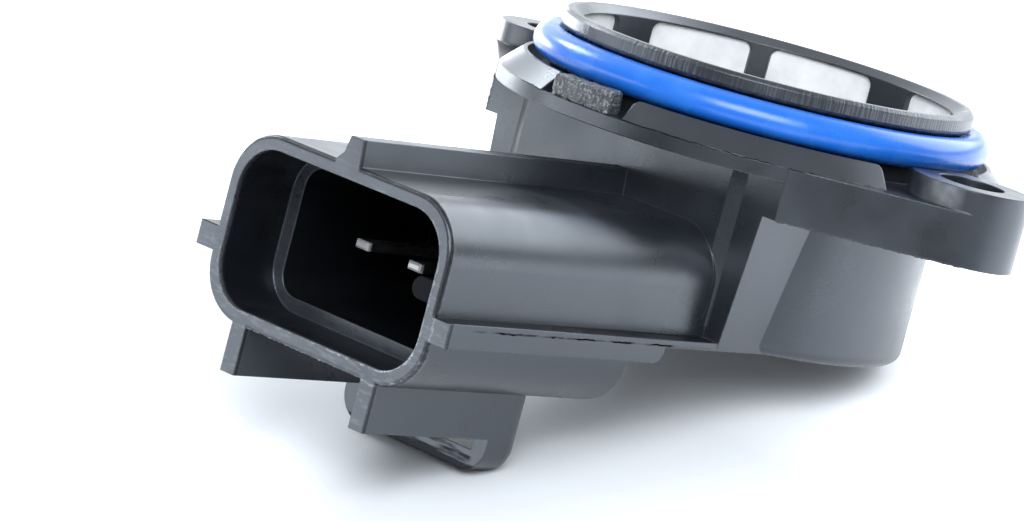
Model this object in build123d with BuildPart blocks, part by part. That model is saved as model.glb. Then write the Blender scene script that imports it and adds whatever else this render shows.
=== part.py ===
from build123d import *
import os
from math import cos, degrees, radians, sin

os.makedirs("parts", exist_ok=True)

# Throttle position sensor, in millimetres.
# Origin on the rotor axis, in the mounting face on top of the two ear bosses. +Z points out of the spigot,
# the ears lie along X and the connector points along -Y.

# Mounting flange
MOUNT_SPACING = 40.0
MOUNT_HOLE_R = 2.3
BOSS_RISE = 1.6
EAR_R = 4.2
EAR_THICK = 3.7
LIP_THICK = 1.05

# Spigot, its windows and its rings
SPIGOT_R = 15.0
SPIGOT_WALL = 1.5
SPIGOT_RISE = 3.4
SPIGOT_EDGE = 0.25
SPIGOT_DEPTH = 5.6
RIM_WIDTH = 0.45
RIM_BEVEL = 0.5
CAP_THICK = 0.6
SKIRT_DROP = 1.05
WINDOW_WALL = 0.35
WINDOW_ARC = 33.5
WINDOW_GAP = 6.8
WINDOW_TURN = -2.7
WINDOW_CORNER = 0.7
LINER_THICK = 0.35
SEAL_SECTION_R = 1.2
SEAL_SLACK = 0.06
SEAL_ROOM = 0.25
SEAL_CLEAR = 0.2

# Coned pilot segments and gate stub round the seal
MOAT_W = 1.8
PILOT_LAND = 0.3
PILOT_CONE = 1.4
PILOT_RISE = 1.4
PILOT_FROM = 11.0
PILOT_ARC = 60.5
PILOT_EDGE = 0.4
GATE_AT = -91.7
GATE_ARC = 16.7
GATE_ROOM = 2.5
GATE_INSET = 0.15

# Body under the flange
BODY_R = 14.4
BODY_BOTTOM = -15.15
BODY_EDGE = 0.8
FRONT_Y = 12.2
NECK_HALF_TOP = 12.8
NECK_HALF_BOTTOM = 12.0
PAD_HALF = 10.7
PAD_PROUD = 0.5
PAD_SLOPE = 1.0

# Connector shell and its ribs
MOUTH_Y = 39.2
SHELL_Z = -13.86
SHELL_HALF_W = 10.5
SHELL_HALF_H = 6.5
SHELL_CORNER = 3.8
SHELL_TAIL_R = 1.0
TAIL_WALL = 1.3
MOUTH_EDGE = 0.3
SOCKET_HALF_W = 9.6
SOCKET_HALF_H = 5.5
SOCKET_CORNER = 3.1
SOCKET_LEDGE_DEPTH = 5.3
SOCKET_LEDGE = 1.0
LEDGE_CORNER = 1.6
SOCKET_DEPTH = 18.7
KEY_REACH = 2.2
KEY_THICK = 1.5
KEY_Z = -13.3
KEY_INSET = 0.6
TOP_RIB_HALF = 0.85
TOP_RIB_TIP_HALF = 0.6
TOP_RIB_RISE = 1.8
TOP_RIB_FOOT = 0.6
SIDE_RIB_REACH = 1.5
SIDE_RIB_TOP = -14.6
SIDE_RIB_THICK = 1.7
SIDE_RIB_END_Y = 17.6
SIDE_RIB_END_R = 0.9

# Latch bridge under the connector
RAIL_OUTER = 6.9
RAIL_THICK = 1.3
RAIL_DROP = 3.3
STAPLE_FRONT_Y = 26.8
STAPLE_LENGTH = 3.3
STAPLE_DROP = 5.9
STAPLE_BAR = 1.5
STAPLE_CORNER = 2.0
STAPLE_HEEL_R = 1.2

# Inside of the body
WEB_THICK = 2.0
ROTOR_ROOM_R = 11.6
ROOM_FLAT_Y = 11.0
BOARD_ROOM_R = 12.8
BOARD_TOP = -10.4
BOARD_THICK = 1.0
BOARD_SLACK = 0.15
BOARD_HOLE_R = 4.2
COVER_THICK = 1.2
REBATE = 0.5
COVER_SLACK = 0.1
SEAL_BEAD_W = 0.7
SEAL_BEAD_H = 0.6

# Rotor, its journals and stops
JOURNAL_R = 5.9
JOURNAL_SLACK = 0.05
JOURNAL_PROUD = 2.4
COLLAR_R = 6.6
COLLAR_SLACK = 0.1
DISC_R = 10.4
DISC_TOP = -7.4
DISC_THICK = 1.4
REAR_HUB_R = 3.6
REAR_HUB_END = -12.4
STUB_R = 2.4
STUB_LENGTH = 1.7
COVER_BOSS_R = 4.0
COVER_BOSS_RISE = 1.0
DRIVE_BORE_R = 3.4
DRIVE_FLATS = 4.4
DRIVE_DEPTH = 6.5
STOP_LUG_REACH = 0.8
STOP_LUG_ARC = 10.0
STOP_REST = 20.0
ROTOR_TRAVEL = 100.0
STOP_SLACK = 1.5
STOP_ARC = 6.0
STOP_CLEAR = 0.3

# Return spring: a flat spiral strip, hooked into the rotor's collar and behind an anchor on the wall
STRIP_T = 0.3
STRIP_H = 2.2
STRIP_CLEAR = 0.3
SPIRAL_IN_R = 7.2
SPIRAL_TURNS = 3
SPIRAL_STEP = 0.37
HOOK_DEPTH = 0.6
HOOK_CLEAR = 0.1
ANCHOR_GRIP = 1.0
ANCHOR_ARC = 8.0

# Contacts
PIN_PITCH = 5.08
BLADE_W = 1.2
BLADE_T = 0.6
BLADE_TIP_DEPTH = 8.4
BLADE_TAPER = 0.12
BLADE_POINT = 0.16
TAIL_Z = -12.1
TAIL_RISE_Y = 13.0
TAIL_POST_Y = 8.9
TAIL_PROUD = 0.6
TAIL_SLACK = 0.05
SOLDER_R = 1.05
SOLDER_RISE = 0.45
TRACK_THICK = 0.06
COLLECTOR_R = 6.0
RESISTIVE_R = 8.5
TRACK_W = 1.4
TRACK_END = -35.0
LEAD_W = 1.0
WIPER_REST = 40.0
WIPER_T = 0.2
WIPER_PAD = 2.0
WIPER_REACH = 3.0
WIPER_FINGER_W = 1.0
WIPER_GAP = 0.05
WASHER_T = 0.25
WASHER_CLEAR = 0.04
WASHER_W = 0.9

# Levels that follow from the sizes above
PLATE_TOP = -BOSS_RISE
PLATE_BOTTOM = PLATE_TOP - EAR_THICK
LIP_BOTTOM = PLATE_TOP - LIP_THICK
SPIGOT_BORE_R = SPIGOT_R - SPIGOT_WALL
PILOT_INNER_R = SPIGOT_R + MOAT_W
PILOT_TOP_R = PILOT_INNER_R + PILOT_LAND
LIP_R = PILOT_TOP_R + PILOT_CONE
SKIRT_Z = SPIGOT_RISE - SKIRT_DROP
LINER_TOP = SPIGOT_RISE - CAP_THICK
LINER_IN_R = SPIGOT_BORE_R + WINDOW_WALL
LINER_OUT_R = LINER_IN_R + LINER_THICK
GROOVE_Z = SKIRT_Z - SEAL_ROOM - 2 * SEAL_SECTION_R - SEAL_SLACK
SEAL_Z = GROOVE_Z + SEAL_SLACK / 2 + SEAL_SECTION_R
SEAL_MID_R = LINER_OUT_R + SEAL_SECTION_R + SEAL_SLACK / 2
WEB_TOP = SPIGOT_RISE - SPIGOT_DEPTH
WEB_BOTTOM = WEB_TOP - WEB_THICK
PAD_Y = FRONT_Y + PAD_PROUD
SHELL_TOP = SHELL_Z + SHELL_HALF_H
SHELL_BOTTOM = SHELL_Z - SHELL_HALF_H
SHELL_WALL = SHELL_HALF_H - SOCKET_HALF_H
SHELL_TAIL_Y = MOUTH_Y - SOCKET_DEPTH - TAIL_WALL
SIDE_RIB_BOTTOM = SIDE_RIB_TOP - SIDE_RIB_THICK
BOARD_BOTTOM = BOARD_TOP - BOARD_THICK
COVER_TOP = BODY_BOTTOM + COVER_THICK
REBATE_R = BOARD_ROOM_R + REBATE
REBATE_FLAT_Y = ROOM_FLAT_Y + REBATE
DISC_BOTTOM = DISC_TOP - DISC_THICK
COLLAR_TOP = WEB_BOTTOM - COLLAR_SLACK
JOURNAL_TOP = WEB_TOP + JOURNAL_PROUD
STUB_END = REAR_HUB_END - STUB_LENGTH
COVER_BOSS_TOP = COVER_TOP + COVER_BOSS_RISE
STRIP_BOTTOM = DISC_TOP + STRIP_CLEAR
SPIRAL_OUT_R = SPIRAL_IN_R + 2 * SPIRAL_TURNS * SPIRAL_STEP
BLADE_TIP_Y = MOUTH_Y - BLADE_TIP_DEPTH
TRACK_TOP = BOARD_TOP + TRACK_THICK


def radial_plane(angle):
    """Upright plane through the rotor axis, with its x axis pointing outwards at the given angle."""
    a = radians(angle)
    return Plane(origin=(0, 0, 0), x_dir=(cos(a), sin(a), 0), z_dir=(sin(a), -cos(a), 0))


def facing_plane(angle, radius):
    """Upright plane at a radius from the rotor axis, facing outwards, with its y axis along Z."""
    a = radians(angle)
    return Plane(origin=(radius * cos(a), radius * sin(a), 0), x_dir=(-sin(a), cos(a), 0), z_dir=(cos(a), sin(a), 0))


def flatted_disc(radius, flat_y):
    """Disc with one flat side towards the connector, drawn in the sketch that is open."""
    Circle(radius)
    with Locations((0, -flat_y)):
        Rectangle(4 * radius, 2 * radius, align=(Align.CENTER, Align.MAX), mode=Mode.SUBTRACT)


def ring_arc(inner, outer, low, high, start, arc, mode=Mode.ADD):
    """Part of a ring of rectangular section, turned through an arc from a start angle."""
    with BuildSketch(radial_plane(start)) as section:
        with Locations(((inner + outer) / 2, (low + high) / 2)):
            Rectangle(outer - inner, high - low)
    revolve(section.sketch, axis=Axis.Z, revolution_arc=arc, mode=mode)


def bent_strip():
    """Side view of one contact: the blade, the rise in the wall, the tail and the post through the board."""
    blade_end = -TAIL_RISE_Y + BLADE_T / 2
    tail_end = -TAIL_POST_Y + BLADE_T / 2
    post_top = BOARD_TOP + TAIL_PROUD
    with Locations((blade_end, SHELL_Z)):
        Rectangle(BLADE_TIP_Y - TAIL_RISE_Y + BLADE_T / 2, BLADE_T, align=(Align.MAX, Align.CENTER))
    with Locations((-TAIL_RISE_Y, (SHELL_Z + TAIL_Z) / 2)):
        Rectangle(BLADE_T, abs(TAIL_Z - SHELL_Z) + BLADE_T)
    with Locations((tail_end, TAIL_Z)):
        Rectangle(TAIL_RISE_Y - TAIL_POST_Y + BLADE_T, BLADE_T, align=(Align.MAX, Align.CENTER))
    with Locations((-TAIL_POST_Y, post_top)):
        Rectangle(BLADE_T, post_top - TAIL_Z + BLADE_T / 2, align=(Align.CENTER, Align.MAX))


def clear_of_solder():
    """Cuts the open sketch back to the edge of the three solder joints."""
    with Locations((0, -TAIL_POST_Y)):
        with GridLocations(PIN_PITCH, 0, 3, 1):
            Circle(SOLDER_R, mode=Mode.SUBTRACT)


with BuildPart() as housing:
    # Connector shell: its upper part runs into the body, its lower part ends behind the socket
    with BuildSketch(Plane.XZ.offset(FRONT_Y)):
        with Locations((0, SHELL_Z)):
            RectangleRounded(2 * SHELL_HALF_W, 2 * SHELL_HALF_H, SHELL_CORNER)
    extrude(amount=MOUTH_Y - FRONT_Y)
    with BuildSketch(Plane.YZ) as shell_side:
        with Locations((-SHELL_TAIL_Y, SHELL_Z)):
            Rectangle(MOUTH_Y - SHELL_TAIL_Y, 2 * SHELL_HALF_H, align=(Align.MAX, Align.CENTER))
        with Locations((-FRONT_Y, SHELL_TOP)):
            Rectangle(MOUTH_Y - FRONT_Y, SHELL_TOP - BODY_BOTTOM, align=(Align.MAX, Align.MAX))
        tail_corner = shell_side.vertices().group_by(Axis.Y)[0].sort_by(Axis.X)[-1]
        fillet(tail_corner, SHELL_TAIL_R)
    extrude(amount=SHELL_HALF_W, both=True, mode=Mode.INTERSECT)
    fillet(housing.faces().sort_by(Axis.Y)[0].edges(), MOUTH_EDGE)

    # Top rib, tapered towards its crest, with a sloping foot on one side
    with BuildSketch(Plane.XZ.offset(FRONT_Y)):
        with BuildLine():
            Polyline(
                (-TOP_RIB_HALF - TOP_RIB_FOOT, SHELL_TOP - SHELL_WALL / 2),
                (-TOP_RIB_HALF - TOP_RIB_FOOT, SHELL_TOP),
                (-TOP_RIB_HALF, SHELL_TOP + TOP_RIB_FOOT),
                (-TOP_RIB_TIP_HALF, SHELL_TOP + TOP_RIB_RISE),
                (TOP_RIB_TIP_HALF, SHELL_TOP + TOP_RIB_RISE),
                (TOP_RIB_HALF, SHELL_TOP - SHELL_WALL / 2),
                close=True,
            )
        make_face()
    extrude(amount=MOUTH_Y - FRONT_Y)

    # Side ribs: full height along the shell, then a thin fin back to the body
    with BuildSketch(Plane.XZ.offset(SIDE_RIB_END_Y)):
        with Locations((0, SIDE_RIB_TOP)):
            Rectangle(2 * (SHELL_HALF_W + SIDE_RIB_REACH), SIDE_RIB_THICK, align=(Align.CENTER, Align.MAX))
    extrude(amount=MOUTH_Y - SIDE_RIB_END_Y)
    with BuildSketch(Plane.XZ.offset(FRONT_Y)):
        with Locations((0, SIDE_RIB_TOP)):
            Rectangle(
                2 * (SHELL_HALF_W + SIDE_RIB_REACH), SIDE_RIB_TOP - BODY_BOTTOM, align=(Align.CENTER, Align.MAX)
            )
    extrude(amount=SIDE_RIB_END_Y - FRONT_Y)
    rib_ends = housing.edges().filter_by(Axis.X).filter_by_position(Axis.Y, -SIDE_RIB_END_Y, -SIDE_RIB_END_Y)
    fillet(rib_ends.group_by(Axis.Z)[0], SIDE_RIB_END_R)

    # Latch bridge: two rails and a staple that the mating plug's hook snaps behind
    with BuildSketch(Plane.XZ.offset(STAPLE_FRONT_Y)):
        with GridLocations(2 * RAIL_OUTER - RAIL_THICK, 0, 2, 1):
            with Locations((0, SHELL_BOTTOM - RAIL_DROP)):
                Rectangle(RAIL_THICK, RAIL_DROP + SHELL_WALL / 2, align=(Align.CENTER, Align.MIN))
    extrude(amount=MOUTH_Y - STAPLE_FRONT_Y)
    with BuildSketch(Plane.XZ.offset(STAPLE_FRONT_Y - STAPLE_LENGTH)) as staple:
        with Locations((0, SHELL_BOTTOM - STAPLE_DROP)):
            Rectangle(2 * RAIL_OUTER, STAPLE_DROP + SHELL_WALL / 2, align=(Align.CENTER, Align.MIN))
        fillet(staple.vertices().group_by(Axis.Y)[0], STAPLE_CORNER)
        with Locations((0, SHELL_BOTTOM - STAPLE_DROP + STAPLE_BAR)):
            Rectangle(
                2 * (RAIL_OUTER - RAIL_THICK),
                STAPLE_DROP - STAPLE_BAR,
                align=(Align.CENTER, Align.MIN),
                mode=Mode.SUBTRACT,
            )
    extrude(amount=STAPLE_LENGTH)
    heel = housing.edges().filter_by(Axis.X).group_by(Axis.Z)[0].sort_by(Axis.Y)[-1]
    fillet(heel, STAPLE_HEEL_R)

    # Socket, stepped in to a narrower bore behind the ledge
    with BuildSketch(Plane.XZ.offset(MOUTH_Y)):
        with Locations((0, SHELL_Z)):
            RectangleRounded(2 * SOCKET_HALF_W, 2 * SOCKET_HALF_H, SOCKET_CORNER)
    extrude(amount=-SOCKET_LEDGE_DEPTH, mode=Mode.SUBTRACT)
    with BuildSketch(Plane.XZ.offset(MOUTH_Y - SOCKET_LEDGE_DEPTH)):
        with Locations((0, SHELL_Z)):
            RectangleRounded(
                2 * (SOCKET_HALF_W - SOCKET_LEDGE), 2 * (SOCKET_HALF_H - SOCKET_LEDGE), LEDGE_CORNER
            )
    extrude(amount=-(SOCKET_DEPTH - SOCKET_LEDGE_DEPTH), mode=Mode.SUBTRACT)

    # Round-nosed key on one side wall of the socket, so that the plug goes in one way up
    key_nose_x = SOCKET_HALF_W - KEY_REACH + KEY_THICK / 2
    with BuildSketch(Plane.XZ.offset(MOUTH_Y - KEY_INSET)):
        with Locations((key_nose_x, KEY_Z)):
            Circle(KEY_THICK / 2)
            Rectangle(SHELL_HALF_W - SHELL_WALL / 2 - key_nose_x, KEY_THICK, align=(Align.MIN, Align.CENTER))
    extrude(amount=KEY_INSET - SOCKET_DEPTH)

    # Round body and the tapered neck that joins it to the connector, with a flat front
    with BuildSketch(Plane.XY.offset(BODY_BOTTOM)):
        flatted_disc(BODY_R, FRONT_Y)
    extrude(amount=PLATE_BOTTOM - BODY_BOTTOM)
    with BuildSketch(Plane.XY.offset(BODY_BOTTOM)):
        Rectangle(2 * NECK_HALF_BOTTOM, FRONT_Y, align=(Align.CENTER, Align.MAX))
    with BuildSketch(Plane.XY.offset(PLATE_BOTTOM)):
        Rectangle(2 * NECK_HALF_TOP, FRONT_Y, align=(Align.CENTER, Align.MAX))
    loft()
    body_rim = housing.edges().filter_by(GeomType.CIRCLE).filter_by_position(Axis.Z, BODY_BOTTOM, BODY_BOTTOM)
    fillet(body_rim.sort_by(Axis.Y)[-1], BODY_EDGE)

    # Flange plate with two ears, square across the front and back, and the round lip on top
    with BuildSketch(Plane.XY.offset(PLATE_BOTTOM)):
        Circle(LIP_R)
        with GridLocations(MOUNT_SPACING, 0, 2, 1):
            Circle(EAR_R)
        make_hull()
        Rectangle(2 * (MOUNT_SPACING + EAR_R), 2 * FRONT_Y, mode=Mode.INTERSECT)
    extrude(amount=EAR_THICK)
    with BuildSketch(Plane.XY.offset(LIP_BOTTOM)):
        Circle(LIP_R)
    extrude(amount=LIP_THICK)
    with BuildSketch(Plane.XY.offset(PLATE_TOP)):
        with GridLocations(MOUNT_SPACING, 0, 2, 1):
            Circle(EAR_R)
        Circle(SEAL_MID_R + SEAL_SECTION_R + SEAL_CLEAR, mode=Mode.SUBTRACT)
    extrude(amount=BOSS_RISE)

    # Raised pad on the front wall, with sloping sides, down to the top of the connector
    with BuildSketch(Plane.XY.offset(LIP_BOTTOM)):
        with BuildLine():
            Polyline(
                (-PAD_HALF, -FRONT_Y),
                (PAD_SLOPE - PAD_HALF, -PAD_Y),
                (PAD_HALF - PAD_SLOPE, -PAD_Y),
                (PAD_HALF, -FRONT_Y),
                close=True,
            )
        make_face()
    extrude(amount=SHELL_Z - LIP_BOTTOM)

    # Inner wall of the spigot, with eight windows in pairs
    ring_arc(SPIGOT_BORE_R, LINER_IN_R, PLATE_TOP, LINER_TOP, 0, 360)
    window_w = 2 * LINER_IN_R * sin(radians(WINDOW_ARC / 2))
    window_deep = LINER_IN_R - SPIGOT_BORE_R * cos(radians(WINDOW_ARC / 2)) + WINDOW_WALL
    for pair in range(4):
        for side in (-1, 1):
            turn = WINDOW_TURN + 45 + 90 * pair + side * (WINDOW_ARC + WINDOW_GAP) / 2
            with BuildSketch(facing_plane(turn, LINER_IN_R)):
                with Locations((0, (GROOVE_Z + LINER_TOP) / 2)):
                    RectangleRounded(window_w, LINER_TOP - GROOVE_Z, WINDOW_CORNER)
            extrude(amount=-window_deep, mode=Mode.SUBTRACT)

    # Foot of the spigot below the seal groove, and the cap with its skirt above it
    ring_arc(LINER_IN_R, SPIGOT_R, PLATE_TOP, GROOVE_Z, 0, 360)
    with BuildSketch(Plane.XZ):
        with BuildLine():
            Polyline(
                (SPIGOT_BORE_R, LINER_TOP),
                (LINER_OUT_R, LINER_TOP),
                (LINER_OUT_R, SKIRT_Z),
                (SPIGOT_R, SKIRT_Z),
                (SPIGOT_R, SPIGOT_RISE - SPIGOT_EDGE),
                (SPIGOT_R - SPIGOT_EDGE, SPIGOT_RISE),
                (SPIGOT_R - SPIGOT_EDGE - RIM_WIDTH, SPIGOT_RISE),
                (SPIGOT_BORE_R, SPIGOT_RISE - RIM_BEVEL),
                close=True,
            )
        make_face()
    revolve(axis=Axis.Z)

    # Four coned pilot segments outside the seal, clear of the ears, the one beside the gate cut shorter
    for quadrant in range(4):
        toward = 90 * quadrant
        begin = toward + PILOT_FROM if quadrant % 2 else toward + 90 - PILOT_FROM - PILOT_ARC
        arc = PILOT_ARC - GATE_ROOM if quadrant == 2 else PILOT_ARC
        with BuildSketch(radial_plane(begin)):
            with BuildLine():
                Polyline(
                    (PILOT_INNER_R, PLATE_TOP),
                    (LIP_R, PLATE_TOP),
                    (PILOT_TOP_R, PLATE_TOP + PILOT_RISE),
                    (PILOT_INNER_R, PLATE_TOP + PILOT_RISE),
                    close=True,
                )
            make_face()
        revolve(axis=Axis.Z, revolution_arc=arc)

    # Stub that is left where the moulding was broken off its gate
    ring_arc(
        PILOT_INNER_R + GATE_INSET,
        LIP_R - GATE_INSET,
        PLATE_TOP,
        PLATE_TOP + PILOT_RISE,
        GATE_AT - GATE_ARC / 2,
        GATE_ARC,
    )
    pilot_top = PLATE_TOP + PILOT_RISE
    segment_ends = housing.edges().filter_by(GeomType.LINE).filter_by_position(Axis.Z, pilot_top, pilot_top)
    fillet(segment_ends, PILOT_EDGE)

    # Rooms in the body: rotor, board and contacts, and the rebate for the cover
    with BuildSketch(Plane.XY.offset(WEB_BOTTOM)):
        flatted_disc(ROTOR_ROOM_R, ROOM_FLAT_Y)
    extrude(amount=BOARD_TOP - WEB_BOTTOM, mode=Mode.SUBTRACT)
    with BuildSketch(Plane.XY.offset(BOARD_TOP)):
        flatted_disc(BOARD_ROOM_R, ROOM_FLAT_Y)
    extrude(amount=COVER_TOP - BOARD_TOP, mode=Mode.SUBTRACT)
    with BuildSketch(Plane.XY.offset(COVER_TOP)):
        flatted_disc(REBATE_R, REBATE_FLAT_Y)
    extrude(amount=-COVER_THICK, mode=Mode.SUBTRACT)

    # Spigot bore down to the web, and the journal bore through the web
    with BuildSketch(Plane.XY.offset(WEB_TOP)):
        Circle(SPIGOT_BORE_R)
    extrude(amount=SPIGOT_DEPTH, mode=Mode.SUBTRACT)
    with BuildSketch(Plane.XY.offset(WEB_TOP)):
        Circle(JOURNAL_R + JOURNAL_SLACK)
    extrude(amount=-WEB_THICK, mode=Mode.SUBTRACT)

    # Rotor stops on the wall of the rotor room, and the spring's anchor under the web
    stop_inner = DISC_R + STOP_CLEAR
    stop_low = STOP_REST - STOP_LUG_ARC / 2 - STOP_SLACK - STOP_ARC
    stop_high = STOP_REST + STOP_LUG_ARC / 2 + STOP_SLACK + ROTOR_TRAVEL
    for stop_at in (stop_low, stop_high):
        ring_arc(stop_inner, ROTOR_ROOM_R + STOP_CLEAR, BOARD_TOP, DISC_TOP + STOP_CLEAR, stop_at, STOP_ARC)
    anchor_inner = ROTOR_ROOM_R - ANCHOR_GRIP
    anchor_from = degrees((STRIP_T / 2 + HOOK_CLEAR) / anchor_inner)
    ring_arc(anchor_inner, ROTOR_ROOM_R + STOP_CLEAR, STRIP_BOTTOM, WEB_BOTTOM, anchor_from, ANCHOR_ARC)

    # Mounting holes, and the moulded-in beds of the three contacts
    with BuildSketch(Plane.XY):
        with GridLocations(MOUNT_SPACING, 0, 2, 1):
            Circle(MOUNT_HOLE_R)
    extrude(amount=PLATE_BOTTOM, mode=Mode.SUBTRACT)
    for place in (-1, 0, 1):
        with BuildSketch(Plane.YZ.offset(place * PIN_PITCH)):
            bent_strip()
        extrude(amount=BLADE_W / 2, both=True, mode=Mode.SUBTRACT)
housing.part.label = "housing"
export_step(housing.part, "parts/housing.step")

with BuildPart() as liner_ring:
    ring_arc(LINER_IN_R, LINER_OUT_R, GROOVE_Z, LINER_TOP, 0, 360)
liner_ring.part.label = "liner_ring"
export_step(liner_ring.part, "parts/liner_ring.step")

with BuildPart() as seal_ring:
    with BuildSketch(Plane.XZ):
        with Locations((SEAL_MID_R, SEAL_Z)):
            Circle(SEAL_SECTION_R)
    revolve(axis=Axis.Z)
seal_ring.part.label = "seal_ring"
export_step(seal_ring.part, "parts/seal_ring.step")

with BuildPart() as rear_cover:
    # Stepped plate: full size on the seat, narrower below to leave the channel for the sealing bead
    with BuildSketch(Plane.XY.offset(BODY_BOTTOM + SEAL_BEAD_H)):
        flatted_disc(REBATE_R - COVER_SLACK, REBATE_FLAT_Y - COVER_SLACK)
    extrude(amount=COVER_THICK - SEAL_BEAD_H)
    with BuildSketch(Plane.XY.offset(BODY_BOTTOM)):
        flatted_disc(REBATE_R - SEAL_BEAD_W, REBATE_FLAT_Y - SEAL_BEAD_W)
    extrude(amount=SEAL_BEAD_H)
    # Boss with the blind bore that carries the rotor's rear journal
    with BuildSketch(Plane.XY.offset(COVER_TOP)):
        Circle(COVER_BOSS_R)
    extrude(amount=COVER_BOSS_RISE)
    with BuildSketch(Plane.XY.offset(COVER_BOSS_TOP)):
        Circle(STUB_R + JOURNAL_SLACK)
    extrude(amount=STUB_END - COLLAR_SLACK - COVER_BOSS_TOP, mode=Mode.SUBTRACT)
rear_cover.part.label = "rear_cover"
export_step(rear_cover.part, "parts/rear_cover.step")

with BuildPart() as cover_seal:
    with BuildSketch(Plane.XY.offset(BODY_BOTTOM)):
        flatted_disc(REBATE_R, REBATE_FLAT_Y)
        with BuildSketch(mode=Mode.SUBTRACT):
            flatted_disc(REBATE_R - SEAL_BEAD_W, REBATE_FLAT_Y - SEAL_BEAD_W)
    extrude(amount=SEAL_BEAD_H)
cover_seal.part.label = "cover_seal"
export_step(cover_seal.part, "parts/cover_seal.step")

with BuildPart() as rotor:
    # Journal, collar, disc, rear hub and stub as one turned profile
    with BuildSketch(Plane.XZ):
        with BuildLine():
            Polyline(
                (0, JOURNAL_TOP),
                (JOURNAL_R, JOURNAL_TOP),
                (JOURNAL_R, COLLAR_TOP),
                (COLLAR_R, COLLAR_TOP),
                (COLLAR_R, DISC_TOP),
                (DISC_R, DISC_TOP),
                (DISC_R, DISC_BOTTOM),
                (REAR_HUB_R, DISC_BOTTOM),
                (REAR_HUB_R, REAR_HUB_END),
                (STUB_R, REAR_HUB_END),
                (STUB_R, STUB_END),
                (0, STUB_END),
                close=True,
            )
        make_face()
    revolve(axis=Axis.Z)
    # Drive socket with two flats for the throttle shaft
    with BuildSketch(Plane.XY.offset(JOURNAL_TOP)):
        Circle(DRIVE_BORE_R)
        Rectangle(2 * DRIVE_BORE_R, DRIVE_FLATS, mode=Mode.INTERSECT)
    extrude(amount=-DRIVE_DEPTH, mode=Mode.SUBTRACT)
    # Stop lug on the rim and the slot in the collar that holds the spring's inner end
    ring_arc(
        DISC_R - STOP_CLEAR,
        DISC_R + STOP_LUG_REACH,
        DISC_BOTTOM,
        DISC_TOP,
        STOP_REST - STOP_LUG_ARC / 2,
        STOP_LUG_ARC,
    )
    with BuildSketch(Plane.XY.offset(DISC_TOP)):
        with Locations((COLLAR_R - HOOK_DEPTH - HOOK_CLEAR, 0)):
            Rectangle(COLLAR_R, STRIP_T + 2 * HOOK_CLEAR, align=(Align.MIN, Align.CENTER))
    extrude(amount=COLLAR_TOP - DISC_TOP, mode=Mode.SUBTRACT)
rotor.part.label = "rotor"
export_step(rotor.part, "parts/rotor.step")

with BuildPart() as return_spring:
    # Half turns whose centres alternate, so that each one is a step wider than the last
    with BuildSketch(Plane.XY.offset(STRIP_BOTTOM)):
        with BuildLine():
            for half_turn in range(2 * SPIRAL_TURNS):
                odd = half_turn % 2
                CenterArc((odd * SPIRAL_STEP, 0), SPIRAL_IN_R + half_turn * SPIRAL_STEP, 180 * odd, 180)
        trace(line_width=STRIP_T)
        with Locations((COLLAR_R - HOOK_DEPTH, 0)):
            Rectangle(SPIRAL_IN_R + STRIP_T / 2 - COLLAR_R + HOOK_DEPTH, STRIP_T, align=(Align.MIN, Align.CENTER))
        with Locations((SPIRAL_OUT_R - STRIP_T / 2, 0)):
            Rectangle(
                ROTOR_ROOM_R - HOOK_CLEAR - SPIRAL_OUT_R + STRIP_T / 2, STRIP_T, align=(Align.MIN, Align.CENTER)
            )
    extrude(amount=STRIP_H)
return_spring.part.label = "return_spring"
export_step(return_spring.part, "parts/return_spring.step")

with BuildPart() as element_board:
    with BuildSketch(Plane.XY.offset(BOARD_BOTTOM)):
        flatted_disc(BOARD_ROOM_R - BOARD_SLACK, ROOM_FLAT_Y - BOARD_SLACK)
        Circle(BOARD_HOLE_R, mode=Mode.SUBTRACT)
        with Locations((0, -TAIL_POST_Y)):
            with GridLocations(PIN_PITCH, 0, 3, 1):
                Rectangle(BLADE_W + 2 * TAIL_SLACK, BLADE_T + 2 * TAIL_SLACK, mode=Mode.SUBTRACT)
    extrude(amount=BOARD_THICK)
element_board.part.label = "element_board"
export_step(element_board.part, "parts/element_board.step")

with BuildPart() as resistive_track:
    ring_arc(
        RESISTIVE_R - TRACK_W / 2, RESISTIVE_R + TRACK_W / 2, BOARD_TOP, TRACK_TOP, TRACK_END, 180 - 2 * TRACK_END
    )
resistive_track.part.label = "resistive_track"
export_step(resistive_track.part, "parts/resistive_track.step")

with BuildPart() as collector_track:
    # Full ring with a lead to the middle contact
    with BuildSketch(Plane.XY.offset(BOARD_TOP)):
        Circle(COLLECTOR_R + TRACK_W / 2)
        with Locations((0, -COLLECTOR_R)):
            Rectangle(LEAD_W, TAIL_POST_Y - COLLECTOR_R, align=(Align.CENTER, Align.MAX))
        Circle(COLLECTOR_R - TRACK_W / 2, mode=Mode.SUBTRACT)
        clear_of_solder()
    extrude(amount=TRACK_THICK)
collector_track.part.label = "collector_track"
export_step(collector_track.part, "parts/collector_track.step")

with BuildPart() as track_leads:
    # Leads from the ends of the resistive track to the two outer contacts
    end_turn = radians(TRACK_END)
    lead_in = RESISTIVE_R - LEAD_W / 2
    lead_out = RESISTIVE_R + LEAD_W / 2
    with BuildSketch(Plane.XY.offset(BOARD_TOP)):
        with BuildLine():
            Polyline(
                (lead_in * cos(end_turn), lead_in * sin(end_turn)),
                (lead_out * cos(end_turn), lead_out * sin(end_turn)),
                (PIN_PITCH + LEAD_W / 2, -TAIL_POST_Y),
                (PIN_PITCH - LEAD_W / 2, -TAIL_POST_Y),
                close=True,
            )
        make_face()
        mirror(about=Plane.YZ)
        clear_of_solder()
    extrude(amount=TRACK_THICK)
track_leads.part.label = "track_leads"
export_step(track_leads.part, "parts/track_leads.step")

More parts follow.
